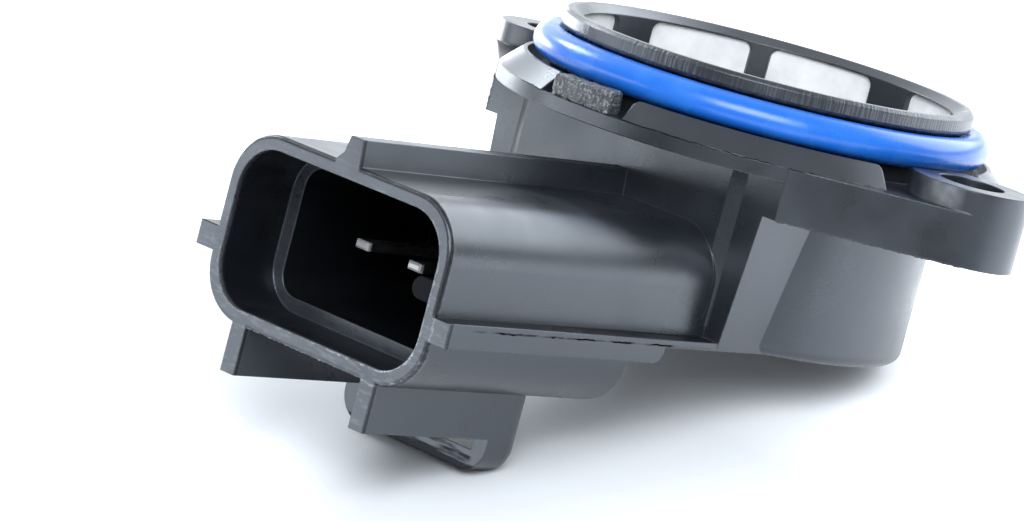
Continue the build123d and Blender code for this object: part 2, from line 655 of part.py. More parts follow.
with BuildPart() as solder_joints:
    with BuildSketch(Plane.XY.offset(BOARD_TOP)):
        with Locations((0, -TAIL_POST_Y)):
            with GridLocations(PIN_PITCH, 0, 3, 1):
                Circle(SOLDER_R)
                Rectangle(BLADE_W, BLADE_T, mode=Mode.SUBTRACT)
    extrude(amount=SOLDER_RISE)
solder_joints.part.label = "solder_joints"
export_step(solder_joints.part, "parts/solder_joints.step")

with BuildPart() as wiper:
    # Sprung strip: a pad under the rotor's disc and a finger down to each track
    with BuildSketch(facing_plane(WIPER_REST, 0), mode=Mode.PRIVATE) as finger:
        tip_z = TRACK_TOP + WIPER_GAP
        with BuildLine():
            Polyline(
                (-WIPER_REACH - WIPER_PAD, DISC_BOTTOM),
                (-WIPER_REACH, DISC_BOTTOM),
                (0, tip_z + WIPER_T),
                (WIPER_T * 2, tip_z + WIPER_T * 2),
                (WIPER_T * 3, tip_z + WIPER_T),
                (0, tip_z),
                (-WIPER_REACH - WIPER_T / 2, DISC_BOTTOM - WIPER_T),
                (-WIPER_REACH - WIPER_PAD, DISC_BOTTOM - WIPER_T),
                close=True,
            )
        make_face()
    for track_r in (COLLECTOR_R, RESISTIVE_R):
        with BuildSketch(facing_plane(WIPER_REST, track_r - WIPER_FINGER_W / 2)):
            add(finger.sketch_local)
        extrude(amount=WIPER_FINGER_W)
    with BuildSketch(facing_plane(WIPER_REST, COLLECTOR_R - WIPER_FINGER_W / 2)):
        with Locations((-WIPER_REACH, DISC_BOTTOM)):
            Rectangle(WIPER_PAD, WIPER_T, align=(Align.MAX, Align.MAX))
    extrude(amount=RESISTIVE_R - COLLECTOR_R + WIPER_FINGER_W)
wiper.part.label = "wiper"
export_step(wiper.part, "parts/wiper.step")

with BuildPart() as wave_washer:
    # Dished spring washer between the cover's boss and the rotor's rear hub
    washer_in = STUB_R + JOURNAL_SLACK + WASHER_CLEAR
    washer_out = washer_in + WASHER_W
    with BuildSketch(Plane.XZ):
        with BuildLine():
            Polyline(
                (washer_in, REAR_HUB_END - WASHER_CLEAR - WASHER_T),
                (washer_out, COVER_BOSS_TOP),
                (washer_out, COVER_BOSS_TOP + WASHER_T),
                (washer_in, REAR_HUB_END - WASHER_CLEAR),
                close=True,
            )
        make_face()
    revolve(axis=Axis.Z)
wave_washer.part.label = "wave_washer"
export_step(wave_washer.part, "parts/wave_washer.step")

for contact, place in (("terminal_supply", -1), ("terminal_signal", 0), ("terminal_ground", 1)):
    with BuildPart() as terminal:
        with BuildSketch(Plane.YZ.offset(place * PIN_PITCH)):
            bent_strip()
        extrude(amount=BLADE_W / 2, both=True)
        tip = terminal.faces().sort_by(Axis.Y)[0]
        chamfer(tip.edges().filter_by(Axis.Z), BLADE_TAPER)
        tip = terminal.faces().sort_by(Axis.Y)[0]
        chamfer(tip.edges().filter_by(Axis.X), BLADE_POINT)
    terminal.part.label = contact
    export_step(terminal.part, f"parts/{contact}.step")
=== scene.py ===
import math

import bmesh
import bpy
from mathutils import Matrix, Vector, noise


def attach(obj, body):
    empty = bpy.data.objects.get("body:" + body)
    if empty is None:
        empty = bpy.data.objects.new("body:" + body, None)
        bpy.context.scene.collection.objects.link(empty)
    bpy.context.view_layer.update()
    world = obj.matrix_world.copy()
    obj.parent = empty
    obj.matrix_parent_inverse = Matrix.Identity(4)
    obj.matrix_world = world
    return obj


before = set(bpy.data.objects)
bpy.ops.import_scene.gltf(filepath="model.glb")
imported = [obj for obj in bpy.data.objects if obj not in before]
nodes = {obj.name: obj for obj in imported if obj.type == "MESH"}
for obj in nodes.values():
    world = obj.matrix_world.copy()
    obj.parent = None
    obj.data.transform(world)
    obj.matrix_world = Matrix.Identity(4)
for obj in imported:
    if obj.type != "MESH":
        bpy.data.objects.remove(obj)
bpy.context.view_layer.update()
scene = bpy.context.scene

MM = 0.001

# Camera: where it stands, what it looks at, which way is up in the picture, and its lens
CAMERA_AT = Vector((0.23323, -0.28830, 0.04119))
CAMERA_AIM = Vector((-0.00921, -0.01073, -0.01499))
CAMERA_UP = Vector((-0.2885, -0.0585, 0.9557))
CAMERA_LENS = 185.03
CAMERA_SENSOR = 36.0
CAMERA_NEAR = 0.01

# Table: the sensor lies on its latch bridge and on the rear edge of its body
TABLE_TILT = math.radians(16.2)
TABLE_DROP = -18.37 * MM
TABLE_RADIUS = 0.16
TABLE_SEGMENTS = 96
TABLE_COOL = (0.91, 0.93, 0.96, 1.0)
TABLE_PALE = (0.94, 0.95, 0.97, 1.0)
TABLE_ROUGH = 0.7

# Painted white glow on the table, seen by the camera and in reflections: it grows along the table's Y, and
# is held back by ambient occlusion where the sensor shuts it in, which paints the sensor's shadow on the
# table
GLOW_FROM_Y = -14.0 * MM
GLOW_TO_Y = 8.0 * MM
GLOW_FRONT = 0.04
GLOW_BEHIND = 1.0
GLOW_SHADOW = 22.0 * MM
GLOW_SHUT_IN = 0.08
GLOW_OPEN = 0.72

# Studio: white behind the sensor and dim behind the camera
SKY_COLOUR = (0.90, 0.95, 1.0, 1.0)
SKY_BRIGHT = 1.12
SKY_DIM = 0.35
SKY_TOWARDS = (-0.62, 0.77, 0.15)
SKY_DIM_UP_TO = -0.3
SKY_BRIGHT_FROM = 0.6

# Softboxes, which all face one point: where each stands, its width, its height and its power
LAMP_COLOUR = (0.90, 0.95, 1.0)
LAMP_AIM = Vector((0.0, -0.02, -0.01))
SOFTBOXES = {
    "back_softbox": ((0.05, 0.34, 0.26), 0.50, 0.30, 1.6),
    "left_softbox": ((-0.38, 0.22, 0.16), 0.45, 0.24, 0.25),
    "side_softbox": ((-0.41, -0.04, 0.23), 0.16, 0.12, 1.0),
    "low_softbox": ((-0.40, 0.20, -0.02), 0.40, 0.10, 2.6),
    "front_softbox": ((-0.30, -0.36, -0.075), 0.40, 0.10, 0.42),
    "fill_softbox": ((0.25, -0.33, 0.23), 0.32, 0.25, 2.4),
}

# Places on the moulding, as the solids have them
PLATE_TOP = -1.6 * MM
EAR_BOTTOM = -5.3 * MM
LIP_BOTTOM = -2.65 * MM
LIP_R = 18.5 * MM
EAR_R = 4.2 * MM
EAR_X = 20.0 * MM
BOSS_TOP = 0.0
FRONT_Y = -12.2 * MM
PAD_Y = -12.7 * MM
MOUTH_Y = -39.2 * MM
SHELL_Z = -13.86 * MM
SHELL_HALF_W = 10.5 * MM
SHELL_HALF_H = 6.5 * MM
SHELL_CORNER = 3.8 * MM
SOCKET_FLAT_X = 6.5 * MM
SOCKET_FLAT_Z = 2.4 * MM
SOCKET_CORNER = 3.1 * MM
SOCKET_END_Y = -20.0 * MM
BLADE_CUT_Y = -30.45 * MM
KEY_FROM_X = 7.3 * MM
KEY_Z = -13.3 * MM
KEY_HALF = 0.85 * MM
LEDGE_Y = -33.9 * MM
RIB_FACE_X = 12.0 * MM
RIB_TOP_Z = -14.6 * MM
RIB_LINE_Z = -15.0 * MM
STAPLE_LOW = -26.26 * MM
STAPLE_FRONT_Y = -26.8 * MM
STAPLE_LENGTH = 3.3 * MM
BAR_TOP_Z = STAPLE_LOW + 1.5 * MM
BAR_END_X = 5.6 * MM
SKIRT_LOW = 2.35 * MM
SKIRT_R = 14.93 * MM
LINER_OUTSIDE = 14.1 * MM

# Marks: how near a face still counts as on it, how soft an edge and a fine line are, and their colours
CLOSE = 0.1 * MM
SOFT = 0.05 * MM
FINE = 0.03 * MM
FULL_GLOSS = 0.5
# Near black for the moulding's seams, and for painted shade in the socket, on the latch bridge and in tight
# corners
SEAM_AND_PAINTED_SHADE = (0.004, 0.0045, 0.006, 1.0)
SCORED_MARK = (0.14, 0.148, 0.16, 1.0)
BRUSHED_MARK = (0.22, 0.23, 0.25, 1.0)
TORN_MARK = (0.50, 0.52, 0.55, 1.0)
# Pale colour painted as light on the side of the right ear's boss
BOSS_PAINTED_LIGHT = (0.17, 0.177, 0.19, 1.0)
LEDGE_MARK = (0.14, 0.148, 0.165, 1.0)
# Near black painted as shade on the liner's outer side
LINER_PAINTED_SHADE = (0.01, 0.011, 0.014, 1.0)
LINT_MARK = (0.6, 0.75, 0.92, 1.0)
BRUSH_STRETCH = (0.15, 1.0, 0.6)
BAR_STRETCH = (0.12, 1.0, 1.0)
STREAK_STRETCH = 0.06
STREAK_WRAP_R = 15.0 * MM

# Noises: how many grains there are to a metre
CLOUD_GRAINS = 260.0
CHIP_GRAINS = 4600.0
SEAM_GRAINS = 1500.0
PATCH_GRAINS = 420.0
STREAK_GRAINS = 5200.0
STREAK_PATCH_GRAINS = 210.0
TORN_GRAINS = 1800.0
FUZZ_GRAINS = 11000.0
BRUSH_GRAINS = 6000.0
LEDGE_GRAINS = 5000.0
RUB_GRAINS = 900.0
BAR_GRAINS = 2600.0
RUBBER_GRAINS = 330.0
LINT_GRAINS = 420.0
DRAWN_GRAINS = 5000.0
DULL_GRAINS = 500.0
WEAVE_GRAINS = 450.0
TABLE_GRAINS = 30.0

# Gate stub: its place, its blunt rounded outline, and the crumbs on it
GATE_AT = math.radians(-91.7)
GATE_HALF_ARC = math.radians(8.9)
GATE_MID_R = 17.65 * MM
GATE_HALF_R = 0.8 * MM
GATE_SINK = 0.1 * MM
GATE_RISE = 1.58 * MM
GATE_BLUNT = 40
GATE_SQUARE = 0.3
GATE_SLOPE = 0.07
GATE_SLICES = 90
GATE_STEPS = 64
GATE_CRUMB = 0.06 * MM
CRUMB_GRAINS = 2600.0
FINE_CRUMB_GRAINS = 6100.0
FINE_CRUMB_SHARE = 0.8

# Flash: the least that is left of its reach, how far it swings, and its finer raggedness
FLASH_LEAST = 0.12
FLASH_SWING = 1.35
FLASH_FINE_SHARE = 0.6
FLASH_FINE_GRAINS = 3.1
MOUTH_FLASH_IN = 0.12 * MM
MOUTH_FLASH_UP = 0.08 * MM
SKIRT_STEPS = 900
SHELL_SIDE_STEPS = 12


def add(tree, kind, inputs=None, **settings):
    """Adds one shader node, with its settings, input values and links."""
    made = tree.nodes.new(kind)
    for key, value in settings.items():
        setattr(made, key, value)
    for key, value in (inputs or {}).items():
        if isinstance(value, bpy.types.NodeSocket):
            tree.links.new(value, made.inputs[key])
        else:
            made.inputs[key].default_value = value
    return made


def blank(name):
    """New material with nothing but its surface shader."""
    material = bpy.data.materials.new(name)
    material.use_nodes = True
    tree = material.node_tree
    return material, tree, tree.nodes["Principled BSDF"]


def feed(tree, shader, **sockets):
    """Sets or links the surface shader's inputs, with _ for a space in their names."""
    for key, value in sockets.items():
        socket = shader.inputs[key.replace("_", " ")]
        if isinstance(value, bpy.types.NodeSocket):
            tree.links.new(value, socket)
        else:
            socket.default_value = value


def here(tree):
    """The shaded place, in the piece's own axes."""
    return add(tree, "ShaderNodeTexCoord").outputs["Object"]


def ramp(tree, value, low, high, to_low=0.0, to_high=1.0):
    """Carries a value from one range to another, clamped."""
    made = add(
        tree,
        "ShaderNodeMapRange",
        {"Value": value, "From Min": low, "From Max": high, "To Min": to_low, "To Max": to_high},
    )
    return made.outputs["Result"]


def blend(tree, factor, first, second):
    """Mixes two colours."""
    made = add(tree, "ShaderNodeMix", data_type="RGBA")
    for index, value in ((0, factor), (6, first), (7, second)):
        if isinstance(value, bpy.types.NodeSocket):
            tree.links.new(value, made.inputs[index])
        else:
            made.inputs[index].default_value = value
    return made.outputs[2]


def maths(tree, operation, first, second=0.0):
    """One sum with one or two values."""
    return add(tree, "ShaderNodeMath", {0: first, 1: second}, operation=operation).outputs[0]


def every(tree, *masks):
    """The masks multiplied together."""
    whole = masks[0]
    for mask in masks[1:]:
        whole = maths(tree, "MULTIPLY", whole, mask)
    return whole


def within(tree, value, low, high, soft=SOFT):
    """1 between two limits, falling to 0 outside them."""
    rise = ramp(tree, value, low - soft, low)
    fall = ramp(tree, value, high, high + soft, 1.0, 0.0)
    return maths(tree, "MULTIPLY", rise, fall)


def near(tree, value, target, reach=CLOSE, soft=SOFT):
    """1 close to a target, falling to 0 on both sides of it."""
    return within(tree, value, target - reach, target + reach, soft)


def vector(tree, **axes):
    """A vector from its single axes."""
    return add(tree, "ShaderNodeCombineXYZ", axes).outputs["Vector"]


def length(tree, arrow):
    """Length of a vector."""
    return add(tree, "ShaderNodeVectorMath", {0: arrow}, operation="LENGTH").outputs["Value"]


def stretched(tree, place, scale):
    """A place with each axis scaled by itself."""
    return add(tree, "ShaderNodeVectorMath", {0: place, 1: scale}, operation="MULTIPLY").outputs["Vector"]


def split(tree, place):
    """The axes of a place, and its distance from the spigot's axis."""
    axes = add(tree, "ShaderNodeSeparateXYZ", {"Vector": place}).outputs
    radius = length(tree, stretched(tree, place, (1.0, 1.0, 0.0)))
    return axes["X"], axes["Y"], axes["Z"], radius


def cloudy(tree, place, grains, detail):
    """Soft noise over a place."""
    made = add(tree, "ShaderNodeTexNoise", {"Vector": place, "Scale": grains, "Detail": detail})
    return made.outputs["Fac"]


def bumped(tree, height, strength, distance, under=None):
    """Relief over another normal."""
    inputs = {"Height": height, "Strength": strength, "Distance": distance}
    if under is not None:
        inputs["Normal"] = under
    return add(tree, "ShaderNodeBump", inputs).outputs["Normal"]


def rounded(tree, radius, samples):
    """Normal that softens the edges of a shape."""
    return add(tree, "ShaderNodeBevel", {"Radius": radius}, samples=samples).outputs["Normal"]


def shade(colour, factor):
    """A colour made darker or paler, with full alpha."""
    return tuple(channel * factor for channel in colour) + (1.0,)


def moulded_plastic(
    name,
    colour,
    worn,
    rough,
    grain,
    edge,
    wear,
    index,
    tint=(1.0, 1.0, 1.0),
    relief=0.3,
    speckle=0.0,
    marks=None,
):
    """Moulded plastic: cloudy tone, fine grain, softened edges and pale wear on the outer ones."""
    material, tree, shader = blank(name)
    place = here(tree)
    cloud = cloudy(tree, place, CLOUD_GRAINS, 5.0)
    fine = cloudy(tree, place, grain, 3.0)
    chips = cloudy(tree, place, CHIP_GRAINS, 4.0)
    inner = add(
        tree, "ShaderNodeAmbientOcclusion", {"Distance": edge * 1.6}, inside=True, only_local=True, samples=6
    ).outputs["AO"]
    scuff = every(tree, ramp(tree, inner, 0.90, 0.50), ramp(tree, chips, 0.45, 0.70, 0.0, wear))
    tone = blend(tree, ramp(tree, cloud, 0.3, 0.7), shade(colour, 0.8), shade(colour, 1.2))
    tone = blend(tree, scuff, tone, shade(worn, 1.0))
    tone = blend(tree, ramp(tree, fine, 0.50, 0.66, 0.0, speckle), tone, shade(worn, 1.0))
    skin = bumped(tree, fine, relief, 0.03 * MM, rounded(tree, edge, 6))
    skin = bumped(tree, cloud, 0.06, 0.1 * MM, skin)
    if marks:
        tone, skin, gloss = marks(tree, place, tone, skin)
        feed(tree, shader, Specular_IOR_Level=gloss)
    feed(tree, shader, Base_Color=tone, Normal=skin, IOR=index, Specular_Tint=shade(tint, 1.0))
    feed(tree, shader, Roughness=ramp(tree, cloud, 0.25, 0.75, rough - 0.06, rough + 0.07))
    return material


def from_socket(tree, x, z):
    """Distance from the flat middle of the socket's outline, less than its corner radius inside it."""
    off_x = maths(tree, "SUBTRACT", maths(tree, "ABSOLUTE", x), SOCKET_FLAT_X)
    rise = maths(tree, "ABSOLUTE", maths(tree, "SUBTRACT", z, SHELL_Z))
    off_z = maths(tree, "SUBTRACT", rise, SOCKET_FLAT_Z)
    wide = maths(tree, "MAXIMUM", off_x, 0.0)
    tall = maths(tree, "MAXIMUM", off_z, 0.0)
    return length(tree, vector(tree, X=wide, Y=tall))


def seams_and_painted_shade(tree, place, x, y, z, radius):
    """How dark the moulding is painted: near black on its seams and parting lines and on a line behind the
    mouth's rim, and painted shade in the socket, on the key, on the rib tops and on the latch bridge.
    """
    ragged = cloudy(tree, place, SEAM_GRAINS, 4.0)
    patchy = ramp(tree, cloudy(tree, place, PATCH_GRAINS, 2.0), 0.40, 0.52)
    waved = maths(tree, "ADD", z, ramp(tree, ragged, 0.3, 0.7, -0.04 * MM, 0.04 * MM))
    barred = cloudy(tree, stretched(tree, place, BAR_STRETCH), BAR_GRAINS, 5.0)
    side = maths(tree, "ABSOLUTE", x)
    reach = from_socket(tree, x, z)
    in_socket = ramp(tree, reach, SOCKET_CORNER + 0.2 * MM, SOCKET_CORNER + CLOSE)
    lip_seam = every(
        tree,
        within(tree, waved, PLATE_TOP - 0.04 * MM, PLATE_TOP + 0.01 * MM, FINE),
        within(tree, radius, LIP_R - 0.15 * MM, LIP_R + CLOSE),
        ramp(tree, patchy, 0.0, 1.0, 0.35, 0.95),
    )
    # Painted shade inside the socket, held back at the ledge
    socket = every(
        tree,
        in_socket,
        within(tree, y, MOUTH_Y + 0.5 * MM, SOCKET_END_Y, 0.4 * MM),
        ramp(tree, near(tree, y, LEDGE_Y), 0.0, 1.0, 0.75, 0.0),
    )
    # Painted shade on the key inside the socket
    key = every(
        tree,
        in_socket,
        ramp(tree, x, KEY_FROM_X - CLOSE, KEY_FROM_X, 0.0, 0.95),
        near(tree, z, KEY_Z, KEY_HALF),
        within(tree, y, MOUTH_Y + 0.5 * MM, SOCKET_END_Y, 0.2 * MM),
    )
    mouth_edge = every(
        tree,
        within(tree, y, MOUTH_Y + CLOSE, MOUTH_Y + 0.3 * MM),
        ramp(tree, reach, SOCKET_CORNER + 0.4 * MM, SOCKET_CORNER + 0.5 * MM, 0.0, 0.65),
    )
    # Painted shade on the top face of each side rib, in its corner with the shell
    rib_top_painted_shade = every(
        tree,
        within(tree, z, RIB_TOP_Z - 0.05 * MM, RIB_TOP_Z + 0.06 * MM, FINE),
        within(tree, side, SHELL_HALF_W - 0.02 * MM, RIB_FACE_X - 0.25 * MM, 0.15 * MM),
        ramp(tree, y, FRONT_Y, FRONT_Y - 0.3 * MM, 0.0, 0.8),
    )
    # The parting line along each side rib's face, and the painted shadow under its flash
    rib_seam_and_painted_shadow = every(
        tree,
        near(tree, waved, RIB_LINE_Z, 0.05 * MM, FINE),
        ramp(tree, side, RIB_FACE_X - CLOSE, RIB_FACE_X - 0.05 * MM),
        within(tree, y, MOUTH_Y + 4.0 * MM, FRONT_Y - 4.0 * MM, 2.0 * MM),
        patchy,
    )
    # Painted shade low on the latch bridge, down by the table, seen through its loop
    staple_foot_painted_shade = every(
        tree,
        ramp(tree, waved, STAPLE_LOW + 0.55 * MM, STAPLE_LOW + 0.40 * MM, 0.0, 0.85),
        ramp(tree, y, STAPLE_FRONT_Y - 0.3 * MM, STAPLE_FRONT_Y - 0.2 * MM),
    )
    # Painted shade on top of the bridge's cross bar, which darkens the inside of its loop
    bar_top_painted_shade = every(
        tree,
        near(tree, z, BAR_TOP_Z, 0.05 * MM),
        within(tree, y, STAPLE_FRONT_Y + 0.05 * MM, STAPLE_FRONT_Y + STAPLE_LENGTH + CLOSE),
        ramp(tree, side, BAR_END_X, BAR_END_X - CLOSE, 0.0, 0.95),
    )
    # Painted shade, broken into streaks, on the front face of the bridge's cross bar
    bar_front_painted_shade = every(
        tree,
        near(tree, y, STAPLE_FRONT_Y),
        ramp(tree, z, BAR_TOP_Z + CLOSE, BAR_TOP_Z),
        ramp(tree, side, BAR_END_X + 0.3 * MM, BAR_END_X),
        ramp(tree, barred, 0.46, 0.60, 0.0, 0.85),
    )
    seam_and_shade = lip_seam
    for mask in (socket, key, mouth_edge, rib_top_painted_shade, rib_seam_and_painted_shadow, staple_foot_painted_shade, bar_top_painted_shade, bar_front_painted_shade):
        seam_and_shade = maths(tree, "MAXIMUM", seam_and_shade, mask)
    return seam_and_shade


def skirt_scores(tree, place, x, y, z, radius):
    """Patches of upright score lines on the outer side of the spigot's skirt."""
    along = maths(tree, "MULTIPLY", maths(tree, "ARCTAN2", y, x), STREAK_WRAP_R)
    wall = vector(tree, X=along, Z=maths(tree, "MULTIPLY", z, STREAK_STRETCH))
    return every(
        tree,
        ramp(tree, cloudy(tree, wall, STREAK_GRAINS, 4.0), 0.45, 0.68),
        ramp(tree, z, SKIRT_LOW, SKIRT_LOW + CLOSE),
        ramp(tree, radius, 14.3 * MM, 14.6 * MM),
        ramp(tree, cloudy(tree, place, STREAK_PATCH_GRAINS, 2.0), 0.42, 0.62),
    )


def mouth_scuffs(tree, place, drawn, x, y, z):
    """Brushed lines on the mouth's rim, and torn edges inside and outside it."""
    rim = every(
        tree,
        ramp(tree, y, MOUTH_Y + 0.6 * MM, MOUTH_Y + 0.2 * MM),
        ramp(tree, z, SHELL_Z + 3.0 * MM, SHELL_Z - 4.0 * MM, 0.3, 1.0),
    )
    brushed = every(tree, rim, ramp(tree, cloudy(tree, drawn, BRUSH_GRAINS, 5.0), 0.50, 0.72))
    jagged = ramp(tree, cloudy(tree, place, TORN_GRAINS, 6.0), 0.3, 0.7, -0.12 * MM, 0.12 * MM)
    reach = maths(tree, "ADD", from_socket(tree, x, z), jagged)
    inner_edge = within(tree, reach, SOCKET_CORNER - CLOSE, SOCKET_CORNER + 0.06 * MM)
    outer_edge = within(tree, reach, SOCKET_CORNER + 0.95 * MM, SOCKET_CORNER + 1.02 * MM)
    torn = every(
        tree,
        rim,
        maths(tree, "MAXIMUM", inner_edge, maths(tree, "MULTIPLY", outer_edge, 0.5)),
        ramp(tree, x, -2.0 * MM, 8.0 * MM, 0.35, 1.0),
        ramp(tree, cloudy(tree, place, FUZZ_GRAINS, 3.0), 0.35, 0.65),
    )
    return brushed, torn


def boss_painted_light(tree, place, x, y, z):
    """Painted light on the side of the right ear's boss, mottled like a rub and palest on the side of the
    mouth.
    """
    across = maths(tree, "SUBTRACT", x, EAR_X)
    return every(
        tree,
        within(tree, z, PLATE_TOP + CLOSE, BOSS_TOP - CLOSE, CLOSE),
        near(tree, length(tree, vector(tree, X=across, Y=y)), EAR_R),
        ramp(tree, across, 2.4 * MM, 1.6 * MM),
        ramp(tree, across, -1.5 * MM, 0.8 * MM, 0.3, 1.0),
        ramp(tree, cloudy(tree, place, RUB_GRAINS, 5.0), 0.30, 0.65, 0.35, 1.0),
    )


def ledge_line(tree, drawn, x, y, z):
    """Paler step half way down the socket."""
    return every(
        tree,
        near(tree, y, LEDGE_Y, 0.05 * MM, FINE),
        ramp(tree, from_socket(tree, x, z), SOCKET_CORNER + 0.2 * MM, SOCKET_CORNER + CLOSE, 0.0, 0.25),
        ramp(tree, cloudy(tree, drawn, LEDGE_GRAINS, 4.0), 0.3, 0.7, 0.5, 1.0),
    )


def housing_marks(tree, place, tone, skin):
    """What moulding and handling left on the housing, with painted light on the right ear's boss and painted
    shade in the socket, on the rib tops and on the latch bridge: its tone, its skin and its gloss.
    """
    x, y, z, radius = split(tree, place)
    drawn = stretched(tree, place, BRUSH_STRETCH)
    scored = skirt_scores(tree, place, x, y, z, radius)
    brushed, torn = mouth_scuffs(tree, place, drawn, x, y, z)
    seam_and_shade = seams_and_painted_shade(tree, place, x, y, z, radius)
    tone = blend(tree, maths(tree, "MULTIPLY", scored, 0.55), tone, SCORED_MARK)
    tone = blend(tree, maths(tree, "MULTIPLY", brushed, 0.30), tone, BRUSHED_MARK)
    tone = blend(tree, maths(tree, "MULTIPLY", torn, 0.85), tone, TORN_MARK)
    tone = blend(tree, boss_painted_light(tree, place, x, y, z), tone, BOSS_PAINTED_LIGHT)
    # Near black on the seams, and as painted shade
    tone = blend(tree, seam_and_shade, tone, SEAM_AND_PAINTED_SHADE)
    tone = blend(tree, ledge_line(tree, drawn, x, y, z), tone, LEDGE_MARK)
    skin = bumped(tree, scored, 0.5, 0.05 * MM, skin)
    # Where the seams and painted shade lie, the gloss goes too, which paints out their reflections
    return tone, skin, ramp(tree, seam_and_shade, 0.0, 1.0, FULL_GLOSS, 0.0)


def liner_painted_shade(tree, place, tone, skin):
    """Painted shade on the liner's outer side, which lies in the narrow dark gap above the rubber ring: near
    black, with its gloss lowered.
    """
    radius = split(tree, place)[3]
    gap_shade = ramp(tree, radius, LINER_OUTSIDE - 0.05 * MM, LINER_OUTSIDE)
    tone = blend(tree, gap_shade, tone, LINER_PAINTED_SHADE)
    return tone, skin, ramp(tree, gap_shade, 0.0, 1.0, FULL_GLOSS, 0.1)


def ring_rubber(name, colour, pale):
    """Smooth moulded rubber with a faint bloom and a few specks of lint."""
    material, tree, shader = blank(name)
    place = here(tree)
    cloud = cloudy(tree, place, RUBBER_GRAINS, 4.0)
    specks = add(tree, "ShaderNodeTexVoronoi", {"Vector": place, "Scale": LINT_GRAINS}).outputs["Distance"]
    bloom = blend(tree, ramp(tree, cloud, 0.45, 0.75, 0.0, 0.25), shade(colour, 1.0), shade(pale, 1.0))
    lint = ramp(tree, specks, 0.055, 0.03, 0.0, 0.6)
    feed(tree, shader, Base_Color=blend(tree, lint, bloom, LINT_MARK))
    feed(tree, shader, Roughness=ramp(tree, cloud, 0.3, 0.7, 0.22, 0.32), IOR=1.55)
    feed(tree, shader, Normal=bumped(tree, cloud, 0.08, 0.1 * MM, rounded(tree, 0.4 * MM, 8)))
    return material


def plated_metal(name, colour, rough, stretch, matt_up_to=None):
    """Metal with fine drawn lines along one axis, and matt cut ends as far along Y as matt_up_to says."""
    material, tree, shader = blank(name)
    place = here(tree)
    lines_at = add(tree, "ShaderNodeMapping", {"Vector": place, "Scale": stretch}).outputs["Vector"]
    lines = cloudy(tree, lines_at, DRAWN_GRAINS, 3.0)
    dull = cloudy(tree, place, DULL_GRAINS, 4.0)
    tone = blend(tree, ramp(tree, dull, 0.35, 0.7), shade(colour, 1.0), shade(colour, 0.75))
    metallic = 1.0
    if matt_up_to is not None:
        y = split(tree, place)[1]
        metallic = ramp(tree, y, matt_up_to, matt_up_to + 0.05 * MM, 0.15, 1.0)
    feed(tree, shader, Base_Color=tone, Metallic=metallic)
    feed(tree, shader, Roughness=ramp(tree, lines, 0.3, 0.7, rough - 0.06, rough + 0.08))
    feed(tree, shader, Normal=bumped(tree, lines, 0.03, 0.01 * MM))
    return material


def threads(tree, place, direction):
    """Threads of a cloth along one axis."""
    made = add(
        tree, "ShaderNodeTexWave", {"Vector": place, "Scale": WEAVE_GRAINS}, bands_direction=direction
    )
    return made.outputs["Fac"]


def printed_board(name, colour):
    """Coated laminate with the weave of its cloth showing faintly."""
    material, tree, shader = blank(name)
    place = here(tree)
    cloth = maths(tree, "MULTIPLY", threads(tree, place, "X"), threads(tree, place, "Y"))
    feed(tree, shader, Base_Color=blend(tree, cloth, shade(colour, 1.0), shade(colour, 0.7)))
    feed(tree, shader, Roughness=ramp(tree, cloth, 0.0, 1.0, 0.22, 0.34))
    feed(tree, shader, Normal=bumped(tree, cloth, 0.1, 0.03 * MM))
    return material


def table_top(name):
    """White table that is seen from above only; a painted glow, seen by the camera and in reflections, runs
    it into the white studio behind the sensor, and ambient occlusion holds that glow back near the sensor as
    painted shadow.
    """
    material, tree, shader = blank(name)
    place = here(tree)
    tone = blend(tree, cloudy(tree, place, TABLE_GRAINS, 2.0), TABLE_COOL, TABLE_PALE)
    feed(tree, shader, Base_Color=tone, Roughness=TABLE_ROUGH)
    behind = split(tree, place)[1]
    paths = add(tree, "ShaderNodeLightPath").outputs
    seen = maths(tree, "MAXIMUM", paths["Is Camera Ray"], paths["Is Glossy Ray"])
    seen = maths(tree, "MAXIMUM", seen, paths["Is Transmission Ray"])
    glow_occlusion = add(tree, "ShaderNodeAmbientOcclusion", {"Distance": GLOW_SHADOW}, samples=8).outputs["AO"]
    glow = every(
        tree,
        seen,
        ramp(tree, behind, GLOW_FROM_Y, GLOW_TO_Y, GLOW_FRONT, GLOW_BEHIND),
        ramp(tree, glow_occlusion, GLOW_SHUT_IN, GLOW_OPEN),
    )
    feed(tree, shader, Emission_Color=SKY_COLOUR, Emission_Strength=glow)
    under = add(tree, "ShaderNodeNewGeometry").outputs["Backfacing"]
    clear = add(tree, "ShaderNodeBsdfTransparent").outputs["BSDF"]
    side = add(tree, "ShaderNodeMixShader", {0: under, 1: shader.outputs["BSDF"], 2: clear})
    tree.links.new(side.outputs["Shader"], tree.nodes["Material Output"].inputs["Surface"])
    return material


black = moulded_plastic(
    "black_glass_filled",
    colour=(0.013, 0.015, 0.019),
    worn=(0.12, 0.125, 0.135),
    rough=0.30,
    grain=8000.0,
    edge=0.14 * MM,
    wear=0.3,
    index=1.8,
    tint=(0.86, 0.92, 1.0),
    relief=0.35,
    marks=housing_marks,
)
broken = moulded_plastic(
    "black_broken_grain",
    colour=(0.05, 0.054, 0.06),
    worn=(0.42, 0.44, 0.47),
    rough=0.45,
    grain=5000.0,
    edge=0.05 * MM,
    wear=0.5,
    index=1.7,
    relief=1.0,
    speckle=0.45,
)
cover_black = moulded_plastic(
    "black_cover",
    colour=(0.015, 0.017, 0.021),
    worn=(0.2, 0.21, 0.22),
    rough=0.46,
    grain=6000.0,
    edge=0.16 * MM,
    wear=0.3,
    index=1.6,
)
white = moulded_plastic(
    "white_liner",
    colour=(0.86, 0.865, 0.87),
    worn=(0.9, 0.9, 0.9),
    rough=0.42,
    grain=5000.0,
    edge=0.1 * MM,
    wear=0.2,
    index=1.5,
    marks=liner_painted_shade,
)
